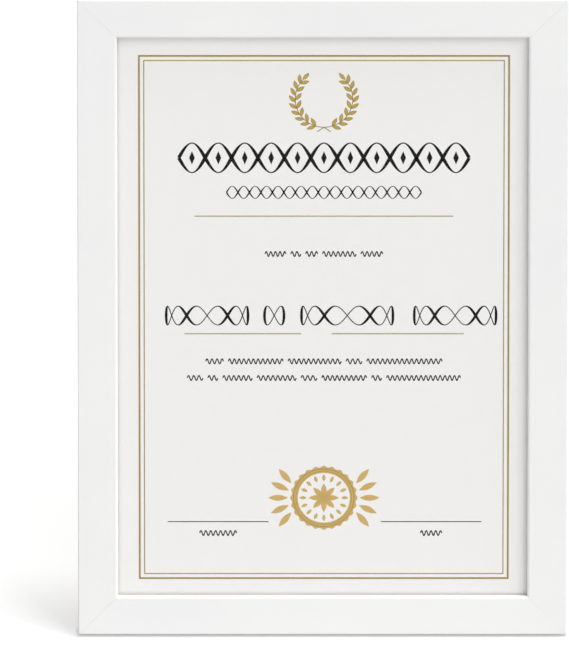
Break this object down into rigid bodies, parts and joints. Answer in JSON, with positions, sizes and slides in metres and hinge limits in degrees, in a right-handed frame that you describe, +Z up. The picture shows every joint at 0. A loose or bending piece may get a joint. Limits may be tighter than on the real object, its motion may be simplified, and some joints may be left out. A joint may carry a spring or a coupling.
{
  "type": "certificate frame",
  "caption": "Mitred white certificate frame with a glazed front, a hinged easel strut, a wall hanger ring and swivel turn buttons that hold the back board.",
  "frame": {"origin": "on the ground under the middle of the standing frame's box", "axes": "+Z up, front towards -Y, +X to the right as seen from the front"},
  "size_m": [0.244, 0.0892, 0.3258],
  "materials": {
    "white_moulding": "white satin foil over MDF, bare MDF at the back",
    "clear_acrylic": "clear acrylic sheet",
    "certificate_paper": "uncoated ivory card",
    "grey_card": "grey corrugated card",
    "hardboard": "smooth brown hardboard",
    "strut_board": "black paper over board",
    "zinc_steel": "bright zinc plate",
    "gold_print": "gold foil print on the sheet",
    "dark_print": "black ink on the sheet"
  },
  "bodies": {
    "frame": {"bottom_rail": "white_moulding", "top_rail": "white_moulding", "left_stile": "white_moulding", "right_stile": "white_moulding", "corner_v_nails": "zinc_steel", "glazing_pane": "clear_acrylic", "certificate_sheet": "certificate_paper", "filler_card": "grey_card", "back_board": "hardboard", "turn_button_screws": "zinc_steel", "hinge_board_leaf": "zinc_steel", "hinge_pin": "zinc_steel", "hinge_board_rivets": "zinc_steel", "hanger_strap": "zinc_steel", "hanger_rivet": "zinc_steel"},
    "strut": {"easel_strut": "strut_board", "hinge_strut_leaf": "zinc_steel", "hinge_strut_rivets": "zinc_steel"},
    "ring": {"hanger_ring": "zinc_steel"},
    "turn_button_left_lower": {"turn_button_left_lower": "zinc_steel"},
    "turn_button_left_upper": {"turn_button_left_upper": "zinc_steel"},
    "turn_button_right_lower": {"turn_button_right_lower": "zinc_steel"},
    "turn_button_right_upper": {"turn_button_right_upper": "zinc_steel"}
  },
  "joints": [
    {"name": "strut_fold", "type": "hinge", "parent": "frame", "child": "strut", "pos_m": [0, 0.01343, 0.21417], "axis": [1, 0, 0], "range_deg": [-20, 0]},
    {"name": "ring_swing", "type": "hinge", "parent": "frame", "child": "ring", "pos_m": [0, 0.02835, 0.28767], "axis": [1, 0, 0], "range_deg": [-11, 167]},
    {"name": "turn_left_lower", "type": "hinge", "parent": "frame", "child": "turn_button_left_lower", "pos_m": [-0.112, -0.01715, 0.08265], "axis": [0, 0.9781, -0.2079], "continuous": true},
    {"name": "turn_left_upper", "type": "hinge", "parent": "frame", "child": "turn_button_left_upper", "pos_m": [-0.112, 0.01653, 0.24111], "axis": [0, 0.9781, -0.2079], "continuous": true},
    {"name": "turn_right_lower", "type": "hinge", "parent": "frame", "child": "turn_button_right_lower", "pos_m": [0.112, -0.01715, 0.08265], "axis": [0, 0.9781, -0.2079], "continuous": true},
    {"name": "turn_right_upper", "type": "hinge", "parent": "frame", "child": "turn_button_right_upper", "pos_m": [0.112, 0.01653, 0.24111], "axis": [0, 0.9781, -0.2079], "continuous": true}
  ]
}
